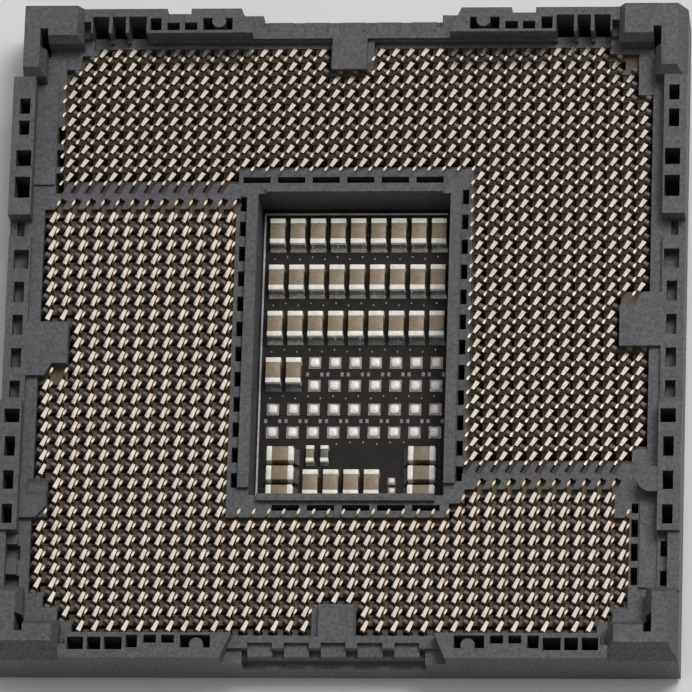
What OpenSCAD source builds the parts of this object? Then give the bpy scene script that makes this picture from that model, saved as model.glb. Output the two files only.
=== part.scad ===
// Land-grid processor socket with its sprung contacts, in millimetres.
// Z = 0 is the board plane, +X is right and +Y is away from the front edge.

/* [Contact grid] */
// Spacing of the contacts in both directions
pitch = 0.9144; // [0.88:0.0004:0.96]
// Turn of each contact arm away from the Y axis, in degrees
arm_turn = 29; // [24:1:32]
// Width of a contact strip
strip_w = 0.3; // [0.22:0.01:0.32]
// Thickness of a contact strip
strip_t = 0.09; // [0.06:0.01:0.1]
// Plan distance from the contact root to its tip
arm_run = 1.16; // [1.08:0.02:1.2]
// Plan distance from the contact root to the grid point of its pad
root_back = 0.38; // [0.36:0.01:0.4]
// Height of the contact root above the contact floor
root_h = 0.35; // [0.33:0.01:0.4]
// Length of the foot that stands in the channel
foot_l = 0.24; // [0.2:0.01:0.25]
// Height of the foot under the contact floor
foot_h = 1.6; // [1:0.1:1.8]
// Play between a foot and the wall of its channel
foot_play = 0.05; // [0.04:0.01:0.08]

/* [Tails and solder] */
// Diameter of a soldered tail
tail_d = 0.12; // [0.08:0.01:0.14]
// Plan distance from the grid point forward to the tail
tail_ahead = 0.05; // [0.04:0.01:0.08]
// Height of a tail above the board
tail_h = 1.9; // [1:0.1:2.2]
// Diameter of a solder ball
ball_d = 0.52; // [0.4:0.02:0.6]
// Gap between a solder ball and the underside of the housing
ball_gap = 0.05; // [0.04:0.01:0.1]

/* [Heights] */
// Stand-off between the board and the underside of the housing
stand_h = 0.35; // [0.3:0.05:0.5]
// Thickness of the slotted contact floor
floor_t = 2.3; // [2:0.1:2.6]
// Deck around the contact fields, above their floor
deck_h = 0.55; // [0.4:0.05:0.6]
// Package seat above the deck
seat_h = 0.35; // [0.3:0.05:0.5]
// Travel of the contact tips above the package seat
travel = 0.35; // [0.25:0.05:0.35]
// Side and end walls above the seat
wall_h = 0.95; // [0.7:0.05:1.3]
// Corner posts above the walls
post_h = 0.6; // [0.4:0.05:0.9]
// Floor of the moulding pockets above the underside
pocket_h = 0.55; // [0.4:0.05:0.8]

/* [Housing plan] */
// From the outer contact column to the outside of a side wall
edge_x = 3.12; // [3:0.02:3.4]
// From the outer contact row to the outside of an end wall
edge_y = 2.87; // [2.8:0.02:3.2]
// Thickness of a side wall
side_t = 1.4; // [1.2:0.05:1.5]
// Thickness of an end wall
end_t = 1.6; // [1.4:0.05:1.7]
// Length of a corner post along the end wall
post_x = 3.65; // [3.4:0.05:3.8]
// Length of a corner post along the side wall
post_y = 4.5; // [4.2:0.05:4.6]
// Thickness of a corner post leg
post_t = 1; // [0.8:0.05:1.1]
// Inset of a corner post from the side wall
post_in = 0.6; // [0.4:0.05:0.8]
// Half length of the low rail between the end walls
mid_half = 6.15; // [5.8:0.05:6.4]
// Slant of the free end of each end wall
end_slant = 0.72; // [0.4:0.04:0.9]
// Depth of the lead-in slope at the top of a corner post
lead = 0.37; // [0.2:0.01:0.4]

/* [Window] */
// Columns of the grid that the window takes
win_cols = 13.06; // [12.6:0.02:13.2]
// Rows of the grid that the window takes
win_rows = 21.54; // [21:0.02:21.8]
// Centre of the window to the right of the middle
win_dx = 0.45; // [0.35:0.05:0.5]
// Centre of the window behind the middle
win_dy = -0.52; // [-0.6:0.04:-0.4]
// Width of the long seat strips beside the window
strip_side = 0.68; // [0.5:0.02:0.7]
// Width of the short seat strips at the window ends
strip_end = 0.44; // [0.36:0.02:0.5]

/* [Window parts] */
// Thickness of the board piece seen in the window
board_t = 0.2; // [0.15:0.01:0.25]
// Length of a capacitor
cap_l = 1.65; // [1.5:0.05:1.8]
// Width of a capacitor
cap_w = 0.94; // [0.8:0.02:1]
// Height of a capacitor
cap_h = 0.85; // [0.6:0.05:1]
// Length of each tinned end
cap_end = 0.32; // [0.24:0.02:0.4]
// Spacing of the capacitors in a row
cap_step = 1.257; // [1.2:0.001:1.3]
// Spacing of the capacitor rows
cap_rows = 3.05; // [2.9:0.01:3.1]
// Height of the tinned lands
land_t = 0.05; // [0.03:0.01:0.08]

/* [Hidden] */
$fn = 48;

// Small steps below the top of a wall, and the reach of a cut past a face
rail_drop = 0.3;
key_drop = 0.1;
slope_h = 0.35;
cut = 1;

// Heights of the levels
z_under = stand_h;
z_floor = z_under + floor_t;
z_deck = z_floor + deck_h;
z_seat = z_deck + seat_h;
z_tip = z_seat + travel;
z_wall = z_seat + wall_h;
z_post = z_wall + post_h;
z_slab = z_deck + seat_h / 2;
z_rail = z_wall - rail_drop;
z_root = z_floor + root_h;
z_foot = z_floor - foot_h;
z_pocket = z_under + pocket_h;

// Outside of the walls
hx = 19.5 * pitch + edge_x;
hy = 20 * pitch + edge_y;
px = hx - post_in;
in_x = hx - side_t;
in_y = hy - end_t;

// Window edges
wx0 = win_dx - win_cols * pitch / 2;
wx1 = win_dx + win_cols * pitch / 2;
wy0 = win_dy - win_rows * pitch / 2;
wy1 = win_dy + win_rows * pitch / 2;

// Grid point of column c and row r in the upper bank
col_0 = 17.5;
row_0 = 20;
bank_dx = 0.425;
bank_dy = 0.415;
function gx(c) = (c - col_0) * pitch + bank_dx;
function gy(r) = (row_0 - r) * pitch + bank_dy;

// Runs of contacts in each bank: first column, last column, first row, last row
upper_runs = [[0, 15, 0, 0], [19, 34, 0, 0], [-1, 15, 1, 1], [19, 35, 1, 1],
  [-2, 36, 2, 3], [-2, 37, 4, 8], [-2, 9, 9, 9], [26, 37, 9, 17],
  [26, 35, 18, 21], [26, 37, 22, 28], [26, 36, 29, 29]];
lower_runs = [[0, 15, 0, 0], [19, 34, 0, 0], [-1, 15, 1, 1], [19, 35, 1, 1],
  [-2, 36, 2, 2], [-2, 37, 3, 7], [-1, 9, 8, 8], [-1, 8, 9, 9],
  [25, 36, 8, 10], [25, 37, 11, 17], [25, 35, 18, 21], [25, 37, 22, 29]];
rows_per_group = 5;

// Room that the deck leaves beside the back right corner of the upper field
spare_room = [35, 36, 1, 1];

// Channel of one row, across the arm roots and tails
tail_r = tail_d / 2;
chan_far = root_back * cos(arm_turn) + strip_w / 2 * sin(arm_turn) + foot_play;
chan_near = -tail_ahead * cos(arm_turn) - tail_r - foot_play;
chan_left = 0.3;
chan_right = 0.6;

// Room around the contacts of a field, left by the deck
room_side = 0.4;
room_root = 0.56;
room_far = 0.72;
room_near = 0.5;
comb_back = 0.2;
comb_l = 1.3;

// Seat tabs at the middle of each side, and the notch for the tips over a side tab
end_tab_0 = -1.2;
end_tab_1 = 0.97;
end_tab_l = 2.1;
tab_w = 2.55;
tab_0 = -0.8;
tab_1 = 2.7;
notch_x = 0.95;
notch_slant = 0.45;
notch_y = 0.8;
notch_lap = 0.1;
notch_open = 0.5;

// Keys for the notches of the package
key_l = 1.62;
key_0 = -11.9;
key_1 = -9.37;
key_cut_x = 0.66;
key_cut_y = 0.72;
scoop_r = 0.85;
scoop_up = 0.6;
scoop_in = 0.5;
round_key_r = 0.8;
round_key_in = 0.45;
round_key_y = -9.68;
key_fit = 0.01;

// Posts, walls and rails as plan values
post_lap = 0.35;
relief_w = 0.5;
relief_in = 0.75;
relief_out = 0.1;
post_gap_w = 0.45;
post_rim = 0.85;
rail_in = 0.05;
rail_out = 0.7;
block_in = 0.35;
block_out = 1.14;
block_w = 1.52;
block_step = 2.24;
step_half = 2.5 * block_step;
ledge_h = 0.65;
slope_y = 0.86;
z_slope = z_seat + slope_h;
z_key = z_wall - key_drop;
end_gap_x = px - post_x;
post_end = hy - post_y;
side_top_0 = 7.5;
side_top_1 = post_end;
rail_step = 0.65;
rail_x = in_x + rail_step;
rail_lap = 0.1;
mid_lap = 0.3;
post_lean = 36;
side_low_0 = -13;
side_low_1 = -4.6;
side_gap = 1.1;

// Plan limits between the deck and the four walls
bound_x = px - post_t;
bound_y = in_y - post_lap;

// Pockets of the end walls: first and last X of each
wide_end_pockets = [[7.4, 9.25], [11.85, 12.55]];
slim_end_pockets = [[9.6, 10.4], [10.7, 11.48]];
post_pockets = [[12.78, 13.88], [14.08, 14.92], [15.14, 16.15]];
end_notch = [10, 11.5];
end_notch_d = 0.36;

// Pockets of the side walls and rails: first and last Y of each
wide_side_pockets = [[10.7, 11.77], [8.6, 10], [-6.1, -5.2]];
slim_side_pockets = [[-8.27, -7], [-10.4, -9.2], [-12.6, -11.36]];
wide_rail_pocket = [4.27, 5.52];
slim_rail_pockets = [[2.1, 3.42], [-0.05, 1.26], [-2.2, -0.93], [-4.15, -3.05]];
right_side_pockets = [[14.97, 15.97], [13.2, 14.38]];
left_side_pockets = [[14.17, 15.21], [12.77, 13.74]];
right_rail_pockets = [[-14.4, -13.4], [-16.25, -15.3]];
left_rail_pockets = [[-14.57, -13.64], [-16.46, -15.57]];
left_rail_pocket_x = [19.4, 20.25];

// Faces of the pockets, measured from the inner and outer faces of the walls
end_pocket_in = 0.17;
end_pocket_wide = 0.98;
end_pocket_slim = 0.68;
post_pocket_in = 0.3;
post_pocket_out = 1.1;
post_pocket_front = 0.7;
post_pocket_lap = 0.4;
wide_in = 0.1;
wide_out = 0.35;
slim_in = 0.3;
slim_out = 0.45;
rail_pocket_in = 0.2;
gap_in = 0.5;

// Pockets of the deck around the window: width, length and spacing
back_pocket = [0.69, 1.09];
front_pocket = [0.62, 1];
side_pocket = [0.72, 1.12];
end_pocket_l = 1.7;
end_pocket_step = 2.15;
back_pocket_0 = -1;
front_pocket_0 = 1.45;
side_pocket_l = 0.97;
side_pocket_step = 1.64;
right_pocket_0 = 0.22;
left_pocket_0 = -0.22;

// Pockets of the deck beside the slabs
slab_pocket_l = 1.12;
slab_pocket_step = 1.53;
left_slab_pocket = [1.34, 1.78];
left_slab_pocket_0 = 9.6;
right_slab_pocket = [1.2, 1.62];
right_slab_pocket_0 = -16.1;
right_end_pocket_l = 0.62;

// Slabs: width and ends
left_slab_w = 1.3;
left_slab = [9.9, 16.5];
right_slab_w = 1.1;
right_slab_0 = -16.3;

// Seat strips, short of the window corners
strip_gap = 0.5;
strip_back = 0.2;
left_strip_front = 0.4;
right_strip_front = 0.7;

// Stand-offs and round pads
foot_w = 1.3;
foot_in = 1.5;
side_foot_l = 1.2;
side_foot_w = 1;
side_foot_in = 0.2;
pad_d = 0.86;
pad_x = 8.25;
pad_in = 0.78;

module at_upper(c, r) {
  translate([gx(c), gy(r), 0]) rotate(180 - arm_turn) children();
}

module upper_group(g) {
  for (s = upper_runs)
    for (r = [max(s[2], g * rows_per_group):1:min(s[3], (g + 1) * rows_per_group - 1)])
      for (c = [s[0]:1:s[1]])
        at_upper(c, r) children();
}

module lower_group(g) {
  rotate(180)
    for (s = lower_runs)
      for (r = [max(s[2], g * rows_per_group):1:min(s[3], (g + 1) * rows_per_group - 1)])
        for (c = [s[0]:1:s[1]])
          at_upper(c, r) children();
}

// One contact, its pad over the grid point and its arm running along +Y
module contact() {
  tip = arm_run - root_back;
  rotate([90, 0, 90])
    translate([0, 0, -strip_w / 2])
      linear_extrude(strip_w)
        polygon([[-root_back, z_foot], [foot_l - root_back, z_foot],
          [strip_t - root_back, z_root - strip_t], [tip + strip_t / 3, z_tip - strip_t],
          [tip - strip_t / 3, z_tip], [-root_back, z_root]]);
}

// One soldered tail with its ball
module tail() {
  ball_h = stand_h - ball_gap;
  neck = ball_d / 3;
  translate([0, tail_ahead, 0])
    rotate_extrude()
      polygon([[0, 0], [neck, 0], [ball_d / 2, ball_h / 2], [neck, ball_h],
        [tail_r, ball_h], [tail_r, tail_h], [0, tail_h]]);
}

module box2(x0, x1, y0, y1) {
  translate([x0, y0]) square([x1 - x0, y1 - y0]);
}

module four_ways() {
  children();
  mirror([1, 0]) children();
  mirror([0, 1]) children();
  mirror([1, 0]) mirror([0, 1]) children();
}

module left_right() {
  children();
  mirror([1, 0]) children();
}

module window_2d() {
  box2(wx0, wx1, wy0, wy1);
}

module outline_2d() {
  difference() {
    box2(-hx, hx, -hy, hy);
    mirror([1, 0]) box2(px, hx + cut, post_end, hy + cut);
  }
}

module channels_2d(runs) {
  for (s = runs)
    for (r = [s[2]:1:s[3]])
      box2(gx(s[0]) - chan_left, gx(s[1]) + chan_right,
        gy(r) + chan_near, gy(r) + chan_far);
}

module field_2d(runs) {
  for (s = runs)
    box2(gx(s[0]) - room_side, gx(s[1]) + room_root,
      gy(s[3]) - room_near, gy(s[2]) + room_far);
}

// Slanted finger slots where the arm tips pass over the deck
module comb_2d(runs, i) {
  s = runs[i];
  for (c = [s[0]:1:s[1]])
    translate([gx(c), gy(s[3])]) rotate(180 - arm_turn)
      box2(-strip_w / 2 - foot_play, strip_w / 2 + foot_play, -comb_back, comb_l);
}

// One end wall half with its slanted free end
module end_wall_2d() {
  polygon([[mid_half, in_y], [mid_half + end_slant, hy], [end_gap_x, hy], [end_gap_x, in_y]]);
}

module post_2d(out) {
  box2(end_gap_x, out, bound_y, hy);
  box2(bound_x, out, post_end, hy);
}

// The back left post stands inside the side wall, and the others reach its face
module corner_posts_2d() {
  post_2d(hx);
  mirror([1, 0]) post_2d(px);
  mirror([0, 1]) post_2d(hx);
  mirror([1, 0]) mirror([0, 1]) post_2d(hx);
}

module side_walls_2d() {
  left_right() {
    box2(in_x, hx, side_top_0, side_top_1);
    box2(in_x, hx, side_low_0, side_low_1);
  }
}

module low_rails_2d() {
  left_right() {
    box2(in_x, hx, side_low_1, side_top_0 - side_gap);
    box2(in_x, hx, -post_end, side_low_0);
  }
  four_ways() box2(-rail_lap, mid_half + mid_lap, in_y - rail_in, in_y + rail_out);
}

// Raised outer part of the low side rails
module side_rails_2d() {
  left_right() box2(rail_x, hx, -post_end - rail_lap, side_low_0 + rail_lap);
}

// Low blocks on the outer side of the end rails
module rail_blocks_2d() {
  for (sy = [0, 1])
    mirror([0, sy])
      for (i = [-2:1:2])
        translate([i * block_step - block_w / 2, in_y + block_in])
          square([block_w, block_out - block_in]);
}

// Steps between the blocks
module end_steps_2d() {
  difference() {
    four_ways() box2(-rail_lap, step_half, in_y + rail_out, hy + cut);
    rail_blocks_2d();
  }
}

// Seat tabs at the middle of each side
module tabs_2d() {
  difference() {
    for (a = [0, 180])
      rotate(a) {
        box2(end_tab_0, end_tab_1, in_y - end_tab_l, in_y);
        box2(in_x - tab_w, in_x + foot_play, tab_0, tab_1);
      }
    tab_notches_2d();
  }
}

// Notches where the tips of the next row pass over the side tabs
module tab_notches_2d() {
  for (a = [0, 180])
    rotate(a)
      translate([in_x - tab_w, tab_1 - notch_y])
        polygon([[-notch_lap, 0], [notch_x, 0], [notch_x + notch_slant, notch_y],
          [notch_x + notch_slant, notch_y + notch_open], [-notch_lap, notch_y + notch_open]]);
}

// Seat strips around the window
module strips_2d() {
  box2(wx0 - strip_side, wx0, wy0 + left_strip_front, wy1 - strip_back);
  box2(wx1, wx1 + strip_side, wy0 + right_strip_front, wy1 - strip_back);
  box2(wx0 + strip_gap, wx1 - strip_gap, wy1, wy1 + strip_end);
  box2(wx0 + strip_gap, wx1 - strip_gap, wy0 - strip_end, wy0);
}

// Long low slabs between the fields and the side walls
module slabs_2d() {
  difference() {
    union() {
      box2(-in_x, -in_x + left_slab_w, left_slab[0], left_slab[1]);
      box2(in_x - right_slab_w, in_x, right_slab_0, round_key_y);
    }
    keys_2d();
  }
}

// Pockets of the end walls
module end_pockets_2d() {
  four_ways() {
    for (p = wide_end_pockets) box2(p[0], p[1], in_y + end_pocket_in, in_y + end_pocket_wide);
    for (p = slim_end_pockets) box2(p[0], p[1], in_y + end_pocket_in, in_y + end_pocket_slim);
    for (p = post_pockets) box2(p[0], p[1], in_y + post_pocket_in, in_y + post_pocket_out);
  }
}

// Reliefs in the inner corners of the posts
module reliefs_2d() {
  four_ways() box2(bound_x - relief_w, bound_x, bound_y - relief_in, in_y + relief_out);
}

// Gaps in the end walls beside the posts
module post_gaps_2d() {
  four_ways() box2(end_gap_x - post_gap_w, end_gap_x, in_y, hy - post_rim);
}

// Shallow front parts of the pockets beside the back posts
module post_pockets_2d() {
  left_right()
    for (p = post_pockets) box2(p[0], p[1], in_y - post_pocket_front, in_y + post_pocket_lap);
}

module end_notches_2d() {
  left_right() box2(end_notch[0], end_notch[1], hy - end_notch_d, hy + cut);
}

// Deep pockets of the side walls and the right rail
module side_pockets_2d() {
  left_right() {
    for (p = wide_side_pockets) wide_pocket_2d(p);
    for (p = slim_side_pockets) slim_pocket_2d(p);
  }
  for (p = right_side_pockets) slim_pocket_2d(p);
  for (p = right_rail_pockets) box2(in_x + rail_pocket_in, rail_x, p[0], p[1]);
  mirror([1, 0])
    for (p = left_side_pockets) slim_pocket_2d(p);
}

// Shallow pockets of the side rails
module rail_pockets_2d() {
  left_right() {
    wide_pocket_2d(wide_rail_pocket);
    for (p = slim_rail_pockets) slim_pocket_2d(p);
  }
  mirror([1, 0])
    for (p = left_rail_pockets) box2(left_rail_pocket_x[0], left_rail_pocket_x[1], p[0], p[1]);
}

module wide_pocket_2d(p) {
  box2(in_x + wide_in, hx - wide_out, p[0], p[1]);
}

module slim_pocket_2d(p) {
  box2(in_x + slim_in, hx - slim_out, p[0], p[1]);
}

// Pockets in the deck around the window and beside the fields
module deck_pockets_2d() {
  for (i = [0:1:5])
    translate([wx0 + back_pocket_0 + i * end_pocket_step, wy1])
      box2(0, end_pocket_l, back_pocket[0], back_pocket[1]);
  for (i = [0:1:4])
    translate([wx0 + front_pocket_0 + i * end_pocket_step, wy0])
      box2(0, end_pocket_l, -front_pocket[1], -front_pocket[0]);
  for (i = [0:1:11]) {
    translate([wx1, wy1 + right_pocket_0 - i * side_pocket_step])
      box2(side_pocket[0], side_pocket[1], -side_pocket_l, 0);
    translate([wx0, wy1 + left_pocket_0 - i * side_pocket_step])
      box2(-side_pocket[1], -side_pocket[0], -side_pocket_l, 0);
  }
  for (i = [0:1:2]) {
    translate([-in_x, left_slab_pocket_0 + i * slab_pocket_step])
      box2(left_slab_pocket[0], left_slab_pocket[1], 0, slab_pocket_l);
    translate([in_x, right_slab_pocket_0 + i * slab_pocket_step])
      box2(-right_slab_pocket[1], -right_slab_pocket[0], 0, slab_pocket_l);
  }
  translate([in_x, right_slab_pocket_0 + 3 * slab_pocket_step])
    box2(-right_slab_pocket[1], -right_slab_pocket[0], 0, right_end_pocket_l);
}

module pockets_2d() {
  end_pockets_2d();
  side_pockets_2d();
  deck_pockets_2d();
  reliefs_2d();
}

module deck_2d() {
  difference() {
    outline_2d();
    window_2d();
    field_2d(concat(upper_runs, [spare_room]));
    rotate(180) field_2d(lower_runs);
    comb_2d(upper_runs, 6);
    comb_2d(upper_runs, 10);
    rotate(180) comb_2d(lower_runs, 7);
    rotate(180) comb_2d(lower_runs, 11);
    left_right() box2(in_x + gap_in, hx - slim_out, side_top_0 - side_gap, side_top_0);
    pockets_2d();
    post_pockets_2d();
    rail_pockets_2d();
    end_steps_2d();
    tab_notches_2d();
    keys_2d();
  }
}

module walls_2d() {
  difference() {
    union() {
      four_ways() end_wall_2d();
      corner_posts_2d();
      side_walls_2d();
    }
    end_pockets_2d();
    post_pockets_2d();
    side_pockets_2d();
    end_notches_2d();
    post_gaps_2d();
    reliefs_2d();
  }
}

// Everything that reaches the package seat
module seat_2d() {
  difference() {
    union() {
      walls_2d();
      post_gaps_2d();
      low_rails_2d();
      tabs_2d();
    }
    end_pockets_2d();
    post_pockets_2d();
    side_pockets_2d();
    rail_pockets_2d();
    rail_blocks_2d();
    keys_2d();
  }
  strips_2d();
}

module posts_2d() {
  difference() {
    corner_posts_2d();
    reliefs_2d();
  }
}

module layer(z0, z1) {
  translate([0, 0, z0]) linear_extrude(z1 - z0) children();
}

module feet() {
  four_ways_3d() translate([px - foot_in, hy - foot_in, 0]) cube([foot_w, foot_w, stand_h]);
  for (m = [0, 1])
    mirror([m, 0, 0])
      translate([hx - side_foot_in - side_foot_w, -side_foot_l / 2, 0])
        cube([side_foot_w, side_foot_l, stand_h]);
}

module four_ways_3d() {
  children();
  mirror([1, 0, 0]) children();
  mirror([0, 1, 0]) children();
  mirror([1, 0, 0]) mirror([0, 1, 0]) children();
}

// Round moulding pads on the back wall
module end_pads() {
  for (m = [0, 1])
    mirror([m, 0, 0])
      translate([pad_x, in_y + pad_in, z_floor]) cylinder(d = pad_d, h = z_wall - z_floor);
}

// Lead-in slopes on the free end of each corner post
module post_slopes() {
  four_ways_3d()
    translate([bound_x - relief_w, post_end, z_wall])
      rotate([-post_lean, 0, 0])
        translate([0, -2 * cut, 0]) cube([relief_w + post_t + post_in + cut, 2 * cut, 3 * cut]);
}

// Inner faces of the post legs, which stand out below a lead-in slope
module back_leads() {
  for (m = [0, 1])
    mirror([m, 0, 0])
      translate([end_gap_x, 0, 0])
        rotate([90, 0, 90])
          linear_extrude(bound_x - relief_w - end_gap_x) lead_2d(bound_y);
}

module right_leads() {
  for (m = [0, 1])
    mirror([0, m, 0])
      translate([0, bound_y - relief_in, 0])
        rotate([90, 0, 0])
          linear_extrude(bound_y - relief_in - post_end) lead_2d(bound_x);
}

module lead_2d(face) {
  polygon([[face - lead, z_deck], [face, z_deck], [face, z_post], [face - lead, z_wall]]);
}

// Slopes on the free end of each post leg along the end wall
module end_slopes() {
  four_ways_3d()
    translate([0, hy + cut, 0])
      rotate([90, 0, 0])
        linear_extrude(end_t + post_lap + 2 * cut)
          polygon([[end_gap_x, z_wall], [end_gap_x + lead, z_post], [end_gap_x + lead, z_post + cut],
            [end_gap_x - lead, z_post + cut], [end_gap_x - lead, z_post]]);
}

// Outer slope along the front of the front posts
module front_slopes() {
  for (m = [0, 1])
    mirror([m, 0, 0])
      translate([end_gap_x, 0, 0])
        rotate([90, 0, 90])
          linear_extrude(post_x + post_in + cut)
            polygon([[-hy - cut, z_slope], [-hy, z_slope], [slope_y - hy, z_post],
              [slope_y - hy, z_post + cut], [-hy - cut, z_post + cut]]);
}

// Outer slope along the side of a post, over its own length
module side_slope() {
  translate([0, hy + cut, 0])
    rotate([90, 0, 0])
      linear_extrude(post_y + cut)
        polygon([[hx, z_slope], [px, z_post], [px, z_post + cut], [hx + cut, z_post + cut],
          [hx + cut, z_slope]]);
}

module side_slopes() {
  side_slope();
  mirror([0, 1, 0]) side_slope();
  mirror([1, 0, 0]) mirror([0, 1, 0]) side_slope();
}

// Ledge under the end rails
module end_ledges() {
  four_ways_3d()
    translate([-rail_lap, in_y + block_out, z_floor - ledge_h])
      cube([step_half + rail_lap, end_t, ledge_h + rail_lap]);
}

// Keys at the front left and right, against the side walls
module left_key_2d() {
  polygon([[-in_x, key_0], [key_l - in_x - key_cut_x, key_0], [key_l - in_x, key_0 + key_cut_y],
    [key_l - in_x, key_1], [-in_x, key_1]]);
}

module round_key_2d(r) {
  intersection() {
    union() {
      translate([in_x - round_key_in, round_key_y]) circle(r = r);
      box2(in_x - round_key_in, in_x, round_key_y - r, round_key_y + r);
    }
    box2(0, in_x, -hy, hy);
  }
}

module keys_2d() {
  left_key_2d();
  round_key_2d(round_key_r + key_fit);
}

module package_keys() {
  color([0.2, 0.2, 0.22]) {
    difference() {
      layer(z_floor, z_seat) left_key_2d();
      translate([key_cut_x - in_x - scoop_in / 2, key_1 - scoop_in, z_seat + scoop_up])
        rotate([0, 90, 0]) cylinder(r = scoop_r, h = key_l);
    }
    layer(z_floor, z_key) round_key_2d(round_key_r);
  }
}

// Plan regions of the deck and of the back and right walls
module inner_2d() {
  box2(-bound_x, bound_x, -bound_y, bound_y);
}

module back_2d() {
  box2(-hx - cut, hx + cut, bound_y, hy + cut);
}

module right_2d() {
  box2(bound_x, hx + cut, -bound_y, bound_y);
}

// Slotted floor of the moulding, with its stand-offs
module contact_floor() {
  color([0.2, 0.2, 0.22])
    difference() {
      union() {
        layer(z_under, z_pocket) slotted_2d();
        layer(z_pocket, z_floor) difference() {
          slotted_2d();
          pockets_2d();
        }
        feet();
      }
      end_ledges();
    }
}

module slotted_2d() {
  difference() {
    outline_2d();
    window_2d();
    channels_2d(upper_runs);
    rotate(180) channels_2d(lower_runs);
  }
}

// Deck and seat inside the walls
module seat_deck() {
  color([0.2, 0.2, 0.22]) {
    layer(z_floor, z_deck) intersection() {
      deck_2d();
      inner_2d();
    }
    layer(z_deck, z_seat) intersection() {
      seat_2d();
      inner_2d();
    }
    layer(z_deck, z_slab) intersection() {
      slabs_2d();
      inner_2d();
    }
  }
}

// The moulding over one wall's plan region, with the leads of its posts
module wall_over() {
  difference() {
    union() {
      layer(z_floor, z_deck) intersection() {
        deck_2d();
        children(0);
      }
      layer(z_deck, z_seat) intersection() {
        seat_2d();
        children(0);
      }
      layer(z_seat, z_wall) intersection() {
        walls_2d();
        children(0);
      }
      layer(z_wall, z_post) intersection() {
        posts_2d();
        children(0);
      }
      children(1);
    }
    end_slopes();
    post_slopes();
    front_slopes();
    side_slopes();
  }
}

module side_wall_over() {
  wall_over() {
    children(0);
    children(1);
  }
  layer(z_seat, z_rail) intersection() {
    side_rails_2d();
    children(0);
  }
  layer(z_deck, z_slab) intersection() {
    slabs_2d();
    children(0);
  }
}

module back_wall() {
  color([0.2, 0.2, 0.22]) {
    wall_over() {
      back_2d();
      back_leads();
    }
    end_pads();
  }
}

module front_wall() {
  color([0.2, 0.2, 0.22]) {
    wall_over() {
      mirror([0, 1]) back_2d();
      mirror([0, 1, 0]) back_leads();
    }
    mirror([0, 1, 0]) end_pads();
  }
}

module right_wall() {
  color([0.2, 0.2, 0.22])
    side_wall_over() {
      right_2d();
      right_leads();
    }
}

module left_wall() {
  color([0.2, 0.2, 0.22])
    side_wall_over() {
      mirror([1, 0]) right_2d();
      mirror([1, 0, 0]) right_leads();
    }
}

module upper_contacts(g) {
  color([0.85, 0.78, 0.6]) upper_group(g) contact();
}

module lower_contacts(g) {
  color([0.85, 0.78, 0.6]) lower_group(g) contact();
}

module upper_tails(g) {
  color([0.7, 0.7, 0.72]) upper_group(g) tail();
}

module lower_tails(g) {
  color([0.7, 0.7, 0.72]) lower_group(g) tail();
}

// Places of the parts on the board piece, from its own grid
cap_x0 = win_dx - 4.95;
cap_y0 = win_dy + 8.17;
low_y = cap_y0 - 16.45;
stack_y = cap_y0 - 14.58;
stack_x = [cap_x0 + 0.61, cap_x0 + 9.34];
stack_step = 1.25;

// Small capacitors, tinned lands and the lip of the board piece under the housing
small_w = 0.5;
small_l = 0.6;
small_h = 0.5;
small_end = 0.22;
small_step = 0.89;
small_x = cap_x0 + 2.42;
small_y = stack_y + 0.11;
land_w = 0.72;
land_y = 0.75;
board_lip = 0.3;

module each_cap() {
  for (j = [0:1:2])
    for (i = [0:1:8])
      translate([cap_x0 + i * cap_step, cap_y0 - j * cap_rows, 0]) children();
  for (i = [0:1:1])
    translate([cap_x0 + i * cap_step, cap_y0 - 3 * cap_rows, 0]) children();
  for (i = [2:1:5])
    translate([cap_x0 + i * cap_step, low_y, 0]) children();
  for (x = stack_x)
    for (j = [0:1:2])
      translate([x, stack_y - j * stack_step, 0]) rotate(90) children();
}

module window_board() {
  color([0.05, 0.05, 0.05])
    translate([wx0 - board_lip, wy0 - board_lip, 0])
      cube([wx1 - wx0 + 2 * board_lip, wy1 - wy0 + 2 * board_lip, board_t]);
}

module capacitor_bodies() {
  color([0.55, 0.47, 0.36])
    each_cap()
      translate([-cap_w / 2, cap_end - cap_l / 2, board_t + land_t])
        cube([cap_w, cap_l - 2 * cap_end, cap_h]);
}

module capacitor_ends() {
  color([0.85, 0.85, 0.82])
    each_cap()
      for (m = [0, 1])
        mirror([0, m, 0])
          translate([-cap_w / 2, cap_l / 2 - cap_end, board_t])
            cube([cap_w, cap_end, cap_h + land_t]);
}

module each_small() {
  for (i = [0, 1])
    translate([small_x + i * small_step, small_y, 0]) children();
}

module small_capacitor_bodies() {
  color([0.55, 0.47, 0.36])
    each_small()
      translate([-small_w / 2, -small_l / 2, board_t + land_t]) cube([small_w, small_l, small_h]);
}

module small_capacitor_ends() {
  color([0.85, 0.85, 0.82])
    each_small()
      for (m = [0, 1])
        mirror([0, m, 0])
          translate([-small_w / 2, small_l / 2, board_t]) cube([small_w, small_end, small_h + land_t]);
}

module tinned_lands() {
  color([0.9, 0.9, 0.9])
    for (j = [0, 1])
      for (i = [j == 0 ? 2 : 0:1:8])
        for (m = [-land_y, land_y])
          translate([cap_x0 + i * cap_step, cap_y0 - (3 + j) * cap_rows + m, board_t])
            translate([-land_w / 2, -land_w / 2, 0]) cube([land_w, land_w, land_t * 2]);
}

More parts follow.
